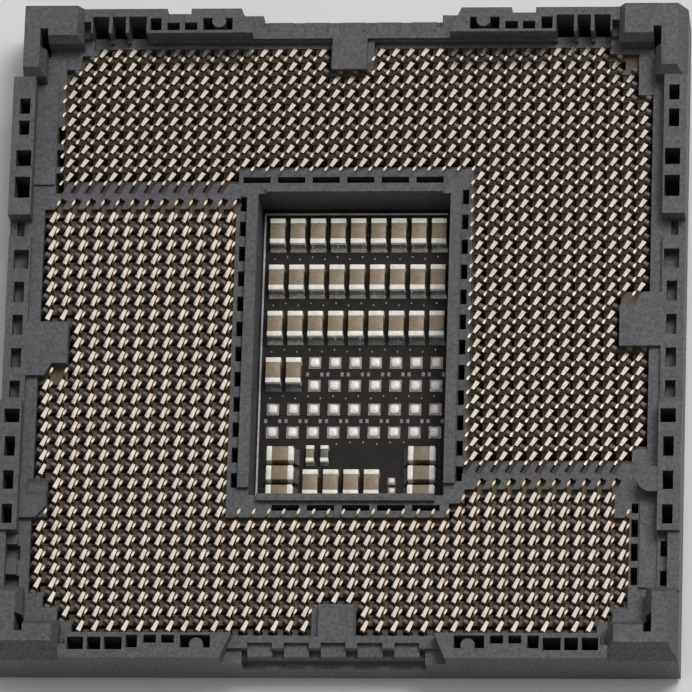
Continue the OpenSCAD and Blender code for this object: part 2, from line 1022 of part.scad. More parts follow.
contact_floor();
seat_deck();
back_wall();
front_wall();
left_wall();
right_wall();
package_keys();
upper_contacts(0);  // upper_contacts_1
upper_contacts(1);  // upper_contacts_2
upper_contacts(2);  // upper_contacts_3
upper_contacts(3);  // upper_contacts_4
upper_contacts(4);  // upper_contacts_5
upper_contacts(5);  // upper_contacts_6
lower_contacts(0);  // lower_contacts_1
lower_contacts(1);  // lower_contacts_2
lower_contacts(2);  // lower_contacts_3
lower_contacts(3);  // lower_contacts_4
lower_contacts(4);  // lower_contacts_5
lower_contacts(5);  // lower_contacts_6
upper_tails(0);  // upper_tails_1
upper_tails(1);  // upper_tails_2
upper_tails(2);  // upper_tails_3
upper_tails(3);  // upper_tails_4
upper_tails(4);  // upper_tails_5
upper_tails(5);  // upper_tails_6
lower_tails(0);  // lower_tails_1
lower_tails(1);  // lower_tails_2
lower_tails(2);  // lower_tails_3
lower_tails(3);  // lower_tails_4
lower_tails(4);  // lower_tails_5
lower_tails(5);  // lower_tails_6
window_board();
capacitor_bodies();
capacitor_ends();
small_capacitor_bodies();
small_capacitor_ends();
tinned_lands();
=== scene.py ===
import math
import bpy
from mathutils import Matrix, Vector


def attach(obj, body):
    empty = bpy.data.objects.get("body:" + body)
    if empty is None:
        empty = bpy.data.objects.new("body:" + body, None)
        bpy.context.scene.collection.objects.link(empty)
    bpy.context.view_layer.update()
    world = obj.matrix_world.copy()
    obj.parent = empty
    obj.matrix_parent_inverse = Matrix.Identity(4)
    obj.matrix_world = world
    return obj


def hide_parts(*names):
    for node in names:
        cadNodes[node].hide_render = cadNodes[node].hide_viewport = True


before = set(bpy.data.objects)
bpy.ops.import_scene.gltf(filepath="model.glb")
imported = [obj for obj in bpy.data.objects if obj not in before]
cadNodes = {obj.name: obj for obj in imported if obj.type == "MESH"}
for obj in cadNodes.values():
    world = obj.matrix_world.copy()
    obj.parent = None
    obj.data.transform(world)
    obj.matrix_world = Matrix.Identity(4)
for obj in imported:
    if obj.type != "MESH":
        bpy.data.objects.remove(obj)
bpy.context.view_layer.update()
mm = 0.001
print("frame loaded,", len(cadNodes), "nodes")


def clearSelection():
    if bpy.context.mode != "OBJECT":
        bpy.ops.object.mode_set(mode="OBJECT")
    bpy.ops.object.select_all(action="DESELECT")


def makeActive(obj):
    clearSelection()
    obj.select_set(True)
    bpy.context.view_layer.objects.active = obj


def editPoints(obj, test):  # edit mode, with the points that pass the test selected
    makeActive(obj)
    for polygon in obj.data.polygons:
        polygon.select = False
    for edge in obj.data.edges:
        edge.select = False
    for point in obj.data.vertices:
        point.select = test(point.co)
    bpy.ops.object.mode_set(mode="EDIT")
    bpy.ops.mesh.select_mode(type="VERT")


def editAll(obj):
    editPoints(obj, lambda p: True)


def editTop(obj):  # edit mode, with the points above the middle height selected
    heights = [point.co.z for point in obj.data.vertices]
    middle = (min(heights) + max(heights)) / 2
    editPoints(obj, lambda p: p.z > middle)


def leaveEdit():
    bpy.ops.object.mode_set(mode="OBJECT")


def outwards(obj):
    makeActive(obj)
    bpy.ops.object.mode_set(mode="EDIT")
    bpy.ops.mesh.select_all(action="SELECT")
    bpy.ops.mesh.normals_make_consistent(inside=False)
    leaveEdit()


def settle(obj):  # the place goes into the mesh
    makeActive(obj)
    bpy.ops.object.transform_apply(location=True, rotation=True, scale=True)


def applyAll(obj):
    makeActive(obj)
    for modifier in list(obj.modifiers):
        bpy.ops.object.modifier_apply(modifier=modifier.name)


def copyOf(obj, name):
    twin = obj.copy()
    twin.data = obj.data.copy()
    twin.name = name
    bpy.context.collection.objects.link(twin)
    return twin


def joinAs(objs, name):
    clearSelection()
    for obj in objs:
        obj.select_set(True)
    bpy.context.view_layer.objects.active = objs[0]
    if len(objs) > 1:
        bpy.ops.object.join()
    whole = bpy.context.object
    whole.name = name
    whole.data.name = name
    return whole


def drop(obj):
    bpy.data.objects.remove(obj)


def addBlock(name, size, centre):  # a cube at its size and place, in millimetres
    clearSelection()
    bpy.ops.mesh.primitive_cube_add(size=1, location=[v * mm for v in centre])
    block = bpy.context.object
    block.name = name
    block.scale = [v * mm for v in size]
    settle(block)
    return block


def bevelPicked(width, segments):  # bevels what is selected and leaves edit mode
    bpy.ops.mesh.bevel(offset=width * mm, segments=segments, affect="EDGES", clamp_overlap=True)
    leaveEdit()


def smooth(obj, degrees):
    makeActive(obj)
    bpy.ops.object.shade_smooth_by_angle(angle=math.radians(degrees))


def dress(obj, finish):
    obj.data.materials.clear()
    obj.data.materials.append(finish)


# camera, at the photograph's viewing angle
photoCamera = {
    "place": (0.045347, -0.167589, 0.471328),
    "right": (0.99589638, 0.02936568, -0.08560404),
    "up": (0.001081, 0.94196526, 0.33570864),
    "ahead": (-0.09049435, 0.33442355, -0.93806805),
    "lens": 422.594,
    "sensor": 36.0,
    "near": 0.01,
    "far": 20,
}


def addCamera(s):
    clearSelection()
    bpy.ops.object.camera_add()
    camera = bpy.context.object
    right, up, ahead = Vector(s["right"]), Vector(s["up"]), Vector(s["ahead"])
    turn = Matrix((right, up, -ahead)).transposed().to_4x4()
    camera.matrix_world = Matrix.Translation(s["place"]) @ turn
    camera.data.sensor_width = s["sensor"]
    camera.data.lens = s["lens"]
    camera.data.clip_start = s["near"]
    camera.data.clip_end = s["far"]
    bpy.context.scene.camera = camera


addCamera(photoCamera)
print("camera set")


# finishes
white = (1.0, 1.0, 1.0)
noiseLow = 0.3  # most values of a noise lie between these two
noiseHigh = 0.7


def newFinish(name):
    finish = bpy.data.materials.new(name)
    finish.use_nodes = True
    return finish, finish.node_tree, finish.node_tree.nodes["Principled BSDF"]


def objectPlace(tree):
    return tree.nodes.new("ShaderNodeTexCoord").outputs["Object"]


def splitPlace(tree, place):
    node = tree.nodes.new("ShaderNodeSeparateXYZ")
    tree.links.new(place, node.inputs["Vector"])
    return node.outputs


def noise(tree, place, scale, detail, rough):
    node = tree.nodes.new("ShaderNodeTexNoise")
    node.inputs["Scale"].default_value = scale
    node.inputs["Detail"].default_value = detail
    node.inputs["Roughness"].default_value = rough
    tree.links.new(place, node.inputs["Vector"])
    return node.outputs["Fac"]


def ramp(tree, value, stops):
    node = tree.nodes.new("ShaderNodeValToRGB")
    while len(node.color_ramp.elements) < len(stops):
        node.color_ramp.elements.new(0.5)  # its real place follows
    for element, (position, colour) in zip(node.color_ramp.elements, stops):
        element.position = position
        element.color = (*colour, 1)
    tree.links.new(value, node.inputs["Fac"])
    return node.outputs["Color"]


def blendColours(tree, kind, amount, first, second):
    node = tree.nodes.new("ShaderNodeMix")
    node.data_type = "RGBA"
    node.blend_type = kind
    share, firstSocket, secondSocket = node.inputs[0], node.inputs[6], node.inputs[7]  # the colour ones
    if isinstance(amount, float):
        share.default_value = amount
    else:
        tree.links.new(amount, share)
    for socket, value in ((firstSocket, first), (secondSocket, second)):
        if isinstance(value, tuple):
            socket.default_value = (*value, 1)
        else:
            tree.links.new(value, socket)
    return node.outputs[2]  # the colour result


def multiply(tree, colour, tone):
    return blendColours(tree, "MULTIPLY", 1.0, colour, tone)


def spread(tree, value, low, high, lowOut, highOut):
    node = tree.nodes.new("ShaderNodeMapRange")
    node.inputs["From Min"].default_value = low
    node.inputs["From Max"].default_value = high
    node.inputs["To Min"].default_value = lowOut
    node.inputs["To Max"].default_value = highOut
    tree.links.new(value, node.inputs["Value"])
    return node.outputs["Result"]


def roughen(tree, shader, value, rough):  # roughness between two limits, by a noise
    result = spread(tree, value, noiseLow, noiseHigh, *rough)
    tree.links.new(result, shader.inputs["Roughness"])


def bump(tree, shader, height, strength, distance):
    node = tree.nodes.new("ShaderNodeBump")
    node.inputs["Strength"].default_value = strength
    node.inputs["Distance"].default_value = distance * mm
    tree.links.new(height, node.inputs["Height"])
    tree.links.new(node.outputs["Normal"], shader.inputs["Normal"])


def larger(tree, first, second):  # the larger distance from the middle
    node = tree.nodes.new("ShaderNodeMath")
    node.operation = "MAXIMUM"
    for value, socket in ((first, node.inputs[0]), (second, node.inputs[1])):
        size = tree.nodes.new("ShaderNodeMath")
        size.operation = "ABSOLUTE"
        tree.links.new(value, size.inputs[0])
        tree.links.new(size.outputs["Value"], socket)
    return node.outputs["Value"]


plasticLook = {
    "dark": (0.048, 0.048, 0.054),
    "mid": (0.079, 0.079, 0.087),
    "pale": (0.114, 0.114, 0.123),
    "fibre": (0.2, 0.2, 0.21),
    "darkStop": 0.3,
    "midStop": 0.5,
    "paleStop": 0.72,
    "grain": 5200,
    "fibreSize": 8200,
    "fibreFrom": 0.66,
    "fibreTo": 0.74,
    "fibreShare": 0.6,
    "cloud": 420,
    "cloudTone": (0.84, 0.84, 0.85),
    "rough": (0.62, 0.46),
    "bump": (0.35, 0.03),
}
# painted shade: the top of the contact floor inside the contact banks is darkened and browned, with a
# painted reflection of the gold
paintedShadeField = {"inner": 18.9, "outer": 19.2, "low": 2.5, "top": 2.6, "tone": (0.105, 0.074, 0.046)}


def makePlastic(name, s, shade, shadeField=None):  # glass-filled moulding, matt with pale specks; a shade other than white tints a copy as painted light and shade, and the last argument adds painted shade to the floor under the contacts
    finish, tree, shader = newFinish(name)
    place = objectPlace(tree)
    grain = noise(tree, place, s["grain"], detail=3, rough=0.6)
    tones = [tuple(v * w for v, w in zip(s[k], shade)) for k in ("dark", "mid", "pale", "fibre")]
    stops = zip((s["darkStop"], s["midStop"], s["paleStop"]), tones)
    colour = ramp(tree, grain, list(stops))
    specks = noise(tree, place, s["fibreSize"], detail=1, rough=0.5)
    speckMask = spread(tree, specks, s["fibreFrom"], s["fibreTo"], 0.0, s["fibreShare"])
    colour = blendColours(tree, "MIX", speckMask, colour, tones[3])
    cloud = noise(tree, place, s["cloud"], detail=2, rough=0.5)
    cloudTone = ramp(tree, cloud, [(noiseLow, s["cloudTone"]), (noiseHigh, white)])
    colour = multiply(tree, colour, cloudTone)
    if shadeField:  # painted shade: under the contacts the floor is darker, with a brown painted reflection of the gold contacts
        parts = splitPlace(tree, place)
        reach = larger(tree, parts["X"], parts["Y"])
        inside = spread(tree, reach, shadeField["inner"] * mm, shadeField["outer"] * mm, 1.0, 0.0)
        above = spread(tree, parts["Z"], shadeField["low"] * mm, shadeField["top"] * mm, 0.0, 1.0)
        dark = blendColours(tree, "MIX", above, colour, shadeField["tone"])
        colour = blendColours(tree, "MIX", inside, colour, dark)
    tree.links.new(colour, shader.inputs["Base Color"])
    roughen(tree, shader, grain, s["rough"])
    bump(tree, shader, grain, *s["bump"])
    return finish


goldLook = {
    "pad": (0.92, 0.82, 0.71),
    "tip": (0.96, 0.84, 0.64),
    # painted shade: the steep part under the nose is painted dark brown
    "neck": (0.5, 0.3, 0.15),
    "root": (0.76, 0.5, 0.27),
    "tipLow": 3.815,
    "tipHigh": 3.855,
    "neckLow": 3.24,
    "neckHigh": 3.31,
    "rootLow": 2.75,
    "rootHigh": 3.06,
    "tarnishSize": 900,
    "tarnish": (0.86, 0.82, 0.80),
    "cleanStop": 0.62,
    "rubSize": 7000,
    "rough": (0.15, 0.28),
    "bump": (0.12, 0.01),
}


def makeGold(name, s):  # plated strip, in zones by height, with painted shade on the steep part under the nose
    finish, tree, shader = newFinish(name)
    place = objectPlace(tree)
    height = splitPlace(tree, place)["Z"]
    colour = s["root"]
    for zone, low, high in (("pad", "rootLow", "rootHigh"), ("neck", "neckLow", "neckHigh"),
                            ("tip", "tipLow", "tipHigh")):
        above = spread(tree, height, s[low] * mm, s[high] * mm, 0.0, 1.0)
        colour = blendColours(tree, "MIX", above, colour, s[zone])
    tarnish = noise(tree, place, s["tarnishSize"], detail=3, rough=0.6)
    tone = ramp(tree, tarnish, [(noiseLow, s["tarnish"]), (s["cleanStop"], white)])
    colour = multiply(tree, colour, tone)
    tree.links.new(colour, shader.inputs["Base Color"])
    shader.inputs["Metallic"].default_value = 1.0
    rub = noise(tree, place, s["rubSize"], detail=2, rough=0.5)
    roughen(tree, shader, rub, s["rough"])
    bump(tree, shader, rub, *s["bump"])
    return finish


tinLook = {"dullStop": 0.32, "paleStop": 0.6, "bump": (0.3, 0.02)}


def makeTin(name, pale, dull, size, rough, metal):  # dipped tin, uneven and a little frosted
    finish, tree, shader = newFinish(name)
    patch = noise(tree, objectPlace(tree), size, detail=4, rough=0.65)
    colour = ramp(tree, patch, [(tinLook["dullStop"], dull), (tinLook["paleStop"], pale)])
    tree.links.new(colour, shader.inputs["Base Color"])
    shader.inputs["Metallic"].default_value = metal
    roughen(tree, shader, patch, rough)
    bump(tree, shader, patch, *tinLook["bump"])
    return finish


ceramicLook = {
    "grain": 6000,
    "lot": 420,
    "coolStop": 0.35,
    "cool": (0.82, 0.82, 0.84),
    "warmStop": 0.65,
    "warm": (1.0, 0.98, 0.94),
    "rough": (0.5, 0.36),
    "bump": (0.2, 0.02),
}


def makeCeramic(name, s, dark, pale):  # fired grain, with a tone that differs from lot to lot
    finish, tree, shader = newFinish(name)
    place = objectPlace(tree)
    grain = noise(tree, place, s["grain"], detail=3, rough=0.6)
    colour = ramp(tree, grain, [(noiseLow, dark), (noiseHigh, pale)])
    lot = noise(tree, place, s["lot"], detail=1, rough=0.5)
    tone = ramp(tree, lot, [(s["coolStop"], s["cool"]), (s["warmStop"], s["warm"])])
    colour = multiply(tree, colour, tone)
    tree.links.new(colour, shader.inputs["Base Color"])
    roughen(tree, shader, grain, s["rough"])
    bump(tree, shader, grain, *s["bump"])
    return finish


boardLook = {
    "cloud": 700,
    "dark": (0.006, 0.0055, 0.005),
    "darkStop": 0.35,
    "brown": (0.016, 0.0125, 0.009),
    "brownStop": 0.7,
    "weave": 3200,
    "rough": (0.42, 0.56),
    "specular": 0.2,
    "bump": (0.15, 0.02),
}


def makeBoard(name, s):  # black solder mask over copper, with a brown cast
    finish, tree, shader = newFinish(name)
    place = objectPlace(tree)
    cloud = noise(tree, place, s["cloud"], detail=3, rough=0.6)
    colour = ramp(tree, cloud, [(s["darkStop"], s["dark"]), (s["brownStop"], s["brown"])])
    tree.links.new(colour, shader.inputs["Base Color"])
    weave = noise(tree, place, s["weave"], detail=2, rough=0.5)
    roughen(tree, shader, weave, s["rough"])
    shader.inputs["Specular IOR Level"].default_value = s["specular"]
    bump(tree, shader, weave, *s["bump"])
    return finish


printLook = {
    "size": 3000,
    "thin": (0.36, 0.37, 0.38),
    "thinStop": 0.35,
    "full": (0.6, 0.61, 0.62),
    "fullStop": 0.65,
    "rough": 0.55,
}


def makePrint(name, s):
    finish, tree, shader = newFinish(name)
    ink = noise(tree, objectPlace(tree), s["size"], detail=3, rough=0.6)
    colour = ramp(tree, ink, [(s["thinStop"], s["thin"]), (s["fullStop"], s["full"])])
    tree.links.new(colour, shader.inputs["Base Color"])
    shader.inputs["Roughness"].default_value = s["rough"]
    return finish


plastic = makePlastic("mouldedPlastic", plasticLook, white)
floorPlasticPaintedShade = makePlastic("floorPlasticPaintedShade", plasticLook, white, paintedShadeField)
# painted light: the plates get a brighter, warmer copy of the moulded plastic, a painted reflection of the
# gold pads
platePlasticPaintedLight = makePlastic("platePlasticPaintedLight", plasticLook, (1.85, 1.58, 1.38))
# painted light and shade: the upper bank's bridges get a dark copy of the plastic as painted shade, the
# lower bank's a brown copy as painted reflection of the gold
bridgePaintedLightAndShade = {
    "upper": makePlastic("shadedBridgePlastic", plasticLook, (0.3, 0.24, 0.2)),
    "lower": makePlastic("bridgePlasticPaintedReflection", plasticLook, (0.82, 0.6, 0.36)),
}
gold = makeGold("platedStrip", goldLook)
tin = makeTin("dippedTin", pale=(0.95, 0.92, 0.86), dull=(0.74, 0.7, 0.63), size=2600,
              rough=(0.55, 0.35), metal=0.0)
solder = makeTin("solder", pale=(0.8, 0.79, 0.77), dull=(0.4, 0.39, 0.38), size=6500,
                 rough=(0.26, 0.1), metal=0.8)
dullTin = makeTin("dullTin", pale=(0.24, 0.24, 0.25), dull=(0.15, 0.15, 0.16), size=3000,
                  rough=(0.6, 0.4), metal=0.4)
landTin = makeTin("landTin", pale=(0.97, 0.96, 0.94), dull=(0.74, 0.73, 0.71), size=4200,
                  rough=(0.32, 0.16), metal=0.0)
landCopper = makeTin("landCopper", pale=(0.34, 0.27, 0.24), dull=(0.2, 0.15, 0.13), size=3000,
                     rough=(0.5, 0.3), metal=0.6)
ballTin = makeTin("ballSolder", pale=(0.72, 0.72, 0.73), dull=(0.5, 0.5, 0.52), size=2200,
                  rough=(0.5, 0.3), metal=1.0)
ceramic = makeCeramic("tanCeramic", ceramicLook, dark=(0.22, 0.165, 0.1), pale=(0.325, 0.25, 0.16))
greyCeramic = makeCeramic("greyCeramic", ceramicLook, dark=(0.1, 0.095, 0.085), pale=(0.17, 0.16, 0.145))
boardMask = makeBoard("blackMask", boardLook)
printInk = makePrint("printInk", printLook)
print("finishes made")


# contacts: the strip is modelled once, then set out in runs of columns and rows
contactStrip = {
    "footLow": 1.9,
    "footHigh": 2.9,
    "footY": -0.365,
    "footWidth": 0.4,
    "bends": [  # along the arm, height, width
        (-0.33, 2.98, 0.34),
        (-0.3, 3.02, 0.29),
        (0.33, 3.2, 0.205),
        (0.49, 3.71, 0.1),
    ],
    "nose": {
        "along": 1.024,
        "height": 2.67,
        "radius": 1.2,
        "width": 0.14,
        "taper": 0.4,
        "steps": 4,
        "from": 109.2,
        "to": 94,
    },
    "thickness": 0.07,
    "turn": 29,
    "crease": 30,
}
grid = {
    "pitch": 0.9144,
    "column": 17.5,
    "row": 20,
    "shiftX": 0.425,
    "shiftY": 0.415,
    "bands": 6,  # groups of rows in each bank of the frame
    "upper": [  # first column, last column, first row, last row
        (0, 15, 0, 0), (19, 34, 0, 0), (-1, 15, 1, 1), (19, 35, 1, 1),
        (-2, 36, 2, 3), (-2, 37, 4, 8), (-2, 9, 9, 9), (26, 37, 9, 17),
        (26, 35, 18, 21), (26, 37, 22, 28), (26, 36, 29, 29),
    ],
    "lower": [
        (0, 15, 0, 0), (19, 34, 0, 0), (-1, 15, 1, 1), (19, 35, 1, 1),
        (-2, 36, 2, 2), (-2, 37, 3, 7), (-1, 9, 8, 8), (-1, 8, 9, 9),
        (25, 36, 8, 10), (25, 37, 11, 17), (25, 35, 18, 21), (25, 37, 22, 29),
    ],
}


def gridX(column):
    return ((column - grid["column"]) * grid["pitch"] + grid["shiftX"]) * mm


def gridY(row):
    return ((grid["row"] - row) * grid["pitch"] + grid["shiftY"]) * mm


def noseBends(n):  # the rounded nose that touches the package
    bends = []
    for i in range(n["steps"] + 1):
        share = i / n["steps"]
        angle = math.radians(n["from"] + (n["to"] - n["from"]) * share)
        width = n["width"] * (1 - n["taper"] * (2 * share - 1) ** 2)
        bends.append((n["along"] + n["radius"] * math.cos(angle),
                      n["height"] + n["radius"] * math.sin(angle), width))
    return bends


def modelContact(s):
    clearSelection()
    footMid = (s["footLow"] + s["footHigh"]) / 2
    bpy.ops.mesh.primitive_plane_add(
        size=1, location=(0, s["footY"] * mm, footMid * mm), rotation=(math.pi / 2, 0, 0))
    strip = bpy.context.object
    strip.scale = (s["footWidth"] * mm, (s["footHigh"] - s["footLow"]) * mm, 1)
    settle(strip)
    editTop(strip)
    along, height, width = s["footY"], s["footHigh"], s["footWidth"]
    for nextAlong, nextHeight, nextWidth in s["bends"] + noseBends(s["nose"]):
        step = (0, (nextAlong - along) * mm, (nextHeight - height) * mm)
        bpy.ops.mesh.extrude_region_move(TRANSFORM_OT_translate={"value": step})
        bpy.ops.transform.resize(
            value=(nextWidth / width, 1, 1),
            center_override=(0, nextAlong * mm, nextHeight * mm))
        along, height, width = nextAlong, nextHeight, nextWidth
    leaveEdit()
    wall = strip.modifiers.new("wall", "SOLIDIFY")
    wall.thickness = s["thickness"] * mm
    wall.offset = 0
    wall.use_even_offset = True
    applyAll(strip)
    outwards(strip)
    smooth(strip, s["crease"])
    strip.rotation_euler.z = math.radians(180 - s["turn"])
    settle(strip)
    dress(strip, gold)
    return strip


def addArray(obj, count, step):
    rows = obj.modifiers.new("rows", "ARRAY")
    rows.count = count
    rows.use_relative_offset = False
    rows.use_constant_offset = True
    rows.constant_offset_displace = step


def setOut(model, runs, name, halfTurn):
    pitch = grid["pitch"] * mm
    made = []
    for firstColumn, lastColumn, firstRow, lastRow in runs:
        run = copyOf(model, name)
        addArray(run, lastColumn - firstColumn + 1, (pitch, 0, 0))
        addArray(run, lastRow - firstRow + 1, (0, -pitch, 0))
        applyAll(run)
        run.location = (gridX(firstColumn), gridY(firstRow), 0)
        settle(run)
        made.append(run)
    whole = joinAs(made, name)
    if halfTurn:
        whole.rotation_euler.z = math.pi
        settle(whole)
    return whole


banks = (("upper", False), ("lower", True))  # the lower bank is turned by half a turn
contactModel = modelContact(contactStrip)
for bank, halfTurn in banks:
    contacts = setOut(contactModel, grid[bank], bank + "Contacts", halfTurn)
    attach(contacts, bank + "_bank")
    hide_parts(*[bank + "_contacts_" + str(i + 1) for i in range(grid["bands"])])
    print(bank, "contacts set out:", len(contacts.data.polygons), "faces")
drop(contactModel)


# plastic plates behind the contact roots
plate = {
    "width": 0.36,
    "length": 0.24,
    "aside": 0.065,
    "middle": -0.67,
    "low": 2.6,
    "high": 3.18,
    "edge": 0.05,
}


def modelPlate(s):
    height = s["high"] - s["low"]
    block = addBlock("plate", (s["width"], s["length"], height),
                     (s["aside"], s["middle"], s["low"] + height / 2))
    editTop(block)
    bevelPicked(s["edge"], 1)
    block.rotation_euler.z = math.radians(180 - contactStrip["turn"])
    settle(block)
    dress(block, platePlasticPaintedLight)
    return block


plateModel = modelPlate(plate)
for bank, halfTurn in banks:
    inner = [run for run in grid[bank] if run[2] > 0]  # the outermost row has none behind it
    plates = setOut(plateModel, inner, bank + "Plates", halfTurn)
    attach(plates, "socket")
drop(plateModel)
print("root plates set out")


# plastic between the slots of one row
bridge = {"width": 0.4, "length": 0.56, "x": -0.28, "y": 0.319, "low": 2.0, "high": 2.55, "edge": 0.04}


def modelBridge(s):
    height = s["high"] - s["low"]
    block = addBlock("bridge", (s["width"], s["length"], height),
                     (s["x"], s["y"], s["low"] + height / 2))
    editTop(block)
    bevelPicked(s["edge"], 1)
    return block


bridgeModel = modelBridge(bridge)
for bank, halfTurn in banks:
    bridges = setOut(bridgeModel, grid[bank], bank + "Bridges", halfTurn)
    # each bank's bridges take their own painted light and shade
    dress(bridges, bridgePaintedLightAndShade[bank])
    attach(bridges, "socket")
drop(bridgeModel)
print("slot bridges set out")


# capacitors and lands in the window
capacitor = {
    "length": 1.65,
    "width": 0.94,
    "height": 0.85,
    "end": 0.33,
    "sink": 0.03,
    "lift": 0.05,
    "soft": 0.05,
    "crease": 40,
    "fillet": 0.32,
    "board": 0.2,
    "left": -4.5,
    "top": 7.65,
    "step": 1.257,
    "rows": 3.05,
    "fullRows": 3,
    "columns": 9,
    "shortRow": 2,
    "lowRow": -8.8,
    "lowColumns": (2, 6),
    "stackTop": -6.93,
    "stackStep": 1.25,
    "stackX": (-3.89, 4.84),
    "stackCount": 3,
}
solderToe = {  # width, height and hollow are shares of the capacitor's own sizes
    "width": 0.9,
    "height": 0.78,
    "sunk": 0.02,
    "lip": 0.05,
    "flare": 1.24,
    "hollow": 0.14,
    "drop": 0.02,
    "hollowFrom": 0.1,
    "hollowTo": 0.7,
    "proud": 0.01,
    "crease": 45,
}


def capacitorPlaces(s):
    columns = [s["left"] + i * s["step"] for i in range(s["columns"])]
    places = []
    for row in range(s["fullRows"]):
        places += [(x, s["top"] - row * s["rows"], 0) for x in columns]
    places += [(x, s["top"] - s["fullRows"] * s["rows"], 0) for x in columns[:s["shortRow"]]]
    first, end = s["lowColumns"]
    places += [(x, s["lowRow"], 0) for x in columns[first:end]]
    for x in s["stackX"]:
        places += [(x, s["stackTop"] - j * s["stackStep"], 90) for j in range(s["stackCount"])]
    return places


def modelCapacitorBody(s, finish):
    height = s["height"] - s["sink"]
    block = addBlock("capacitorBody", (s["width"] - s["sink"], s["length"] - s["end"], height),
                     (0, 0, s["board"] + s["lift"] + height / 2))
    editAll(block)
    bevelPicked(s["soft"] / 2, 2)
    smooth(block, s["crease"])
    dress(block, finish)
    return block


def modelToe(s, t):  # the solder that runs up the end face
    base, face, fillet = s["board"], s["length"] / 2, s["fillet"]
    rise = s["height"] * t["height"]
    outer = face + fillet / 2
    toe = addBlock("solderToe", (s["width"] * t["width"], fillet, rise),
                   (0, outer - t["sunk"], base + rise / 2))
    editPoints(toe, lambda p: p.z > (base + rise / 2) * mm and p.y > outer * mm)
    bpy.ops.transform.translate(value=(0, -(fillet - t["lip"]) * mm, 0))
    leaveEdit()
    editPoints(toe, lambda p: p.y > outer * mm)
    bpy.ops.transform.resize(value=(t["flare"], 1, 1), center_override=(0, face * mm, base * mm))
    leaveEdit()
    editAll(toe)
    bpy.ops.mesh.subdivide(number_cuts=2, smoothness=0)
    leaveEdit()
    low, high = base + t["hollowFrom"], base + s["height"] * t["hollowTo"]
    editPoints(toe, lambda p: low * mm < p.z < high * mm and p.y > (face + t["proud"]) * mm)
    bpy.ops.transform.translate(value=(0, -fillet * t["hollow"] * mm, -t["drop"] * mm))
    leaveEdit()
    smooth(toe, t["crease"])
    dress(toe, solder)
    return toe


def modelCapacitorEnd(s):
    height = s["height"] + s["lift"]
    cap = addBlock("capacitorEnd", (s["width"], s["end"], height),
                   (0, s["length"] / 2 - s["end"] / 2, s["board"] + height / 2))
    editAll(cap)
    bevelPicked(s["soft"], 2)
    smooth(cap, s["crease"])
    dress(cap, tin)
    near = joinAs([cap, modelToe(s, solderToe)], "capacitorEnd")
    far = copyOf(near, "capacitorEndFar")
    far.rotation_euler.z = math.pi
    settle(far)
    return joinAs([near, far], "capacitorEnds")


def scatter(model, places, name):  # copies of one model at x, y and turn
    made = []
    for x, y, turn in places:
        twin = copyOf(model, name)
        twin.rotation_euler.z = math.radians(turn)
        twin.location = (x * mm, y * mm, 0)
        settle(twin)
        made.append(twin)
    drop(model)
    return joinAs(made, name)


def addCapacitors(s, groups, prefix, bodyNode, endNode):  # groups of places and their ceramic
    made = []
    for places, finish in groups:
        made.append(scatter(modelCapacitorBody(s, finish), places, prefix + "Bodies"))
    bodies = joinAs(made, prefix + "Bodies")
    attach(bodies, "socket")
    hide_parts(bodyNode)
    allPlaces = [place for places, finish in groups for place in places]
    tips = scatter(modelCapacitorEnd(s), allPlaces, prefix + "Ends")
    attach(tips, "socket")
    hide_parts(endNode)


addCapacitors(capacitor, [(capacitorPlaces(capacitor), ceramic)], "capacitor",
              "capacitor_bodies", "capacitor_ends")
smallCapacitor = dict(capacitor, length=1.04, width=0.5, height=0.5, end=0.24, soft=0.035,
                      fillet=0.16)
tanPlace = (-2.08, -6.82, 0)
greyPlace = (-1.19, -6.82, 0)
addCapacitors(smallCapacitor, [([tanPlace], ceramic), ([greyPlace], greyCeramic)], "smallCapacitor",
              "small_capacitor_bodies", "small_capacitor_ends")
print("capacitors placed")


land = {
    "size": 0.76,
    "spareSize": 0.46,
    "sparePlaces": [(2.97, -8.47, 0), (2.99, -9.12, 0)],
    "base": 0.04,
    "pillow": 0.92,
    "top": 0.6,
    "crown": 0.2,
    "soft": 0.27,
    "crease": 60,
    "half": 0.75,
    "rows": ((3, 2), (4, 0)),  # row and its first free column
}


def freePlaces(s, c):  # the middles of the places that hold no capacitor
    places = []
    for row, first in s["rows"]:
        middle = c["top"] - row * c["rows"]
        places += [(c["left"] + i * c["step"], middle) for i in range(first, c["columns"])]
    return places


def modelLand(s, base, size):  # a copper square under a pillow of solder
    pad = addBlock("land", (size, size, s["base"]), (0, 0, base + s["base"] / 2))
    dress(pad, landCopper)
    width = size * s["pillow"]
    low = base + s["base"] / 2
    pillow = addBlock("pillow", (width, width, s["crown"]), (0, 0, low + s["crown"] / 2))
    editTop(pillow)
    bpy.ops.transform.resize(value=(s["top"], s["top"], 1), center_override=(0, 0, 0))
    leaveEdit()
    editAll(pillow)
    bevelPicked(width * s["soft"], 3)
    smooth(pillow, s["crease"])
    dress(pillow, landTin)
    return joinAs([pad, pillow], "solderLand")


free = freePlaces(land, capacitor)
landPlaces = [(x, y + side * land["half"], 0) for x, y in free for side in (1, -1)]
lands = scatter(modelLand(land, capacitor["board"], land["size"]), landPlaces, "solderLands")
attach(lands, "socket")
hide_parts("tinned_lands")


# small marks on the board: test lands, plated holes and the printed line
testLand = {"width": 0.2, "length": 0.26, "high": 0.02, "edge": 0.012, "aside": 0.44}
platedHole = {
    "across": 0.1,
    "sides": 10,
    "high": 0.02,
    "ring": 0.025,
    "deep": 0.7,
    "gaps": 4,  # between the rows of capacitors
    "gapShare": 0.49,
    "count": 14,
    "left": -0.2,
    "step": 0.78,
    "zigzag": 0.07,
    "lowCount": 6,
    "lowLeft": -0.5,
    "lowStep": 0.83,
    "lowMiddle": -5.98,
    "lowUp": 0.05,
    "lowDown": -0.06,
}
printed = {
    "wide": 0.11,
    "high": 0.012,
    "edge": 0.01,
    "sideLength": 19.0,
    "sidePlace": (-5.36, -0.45),
    "headLength": 11.4,
    "headPlace": (0.3, 9.06),
}


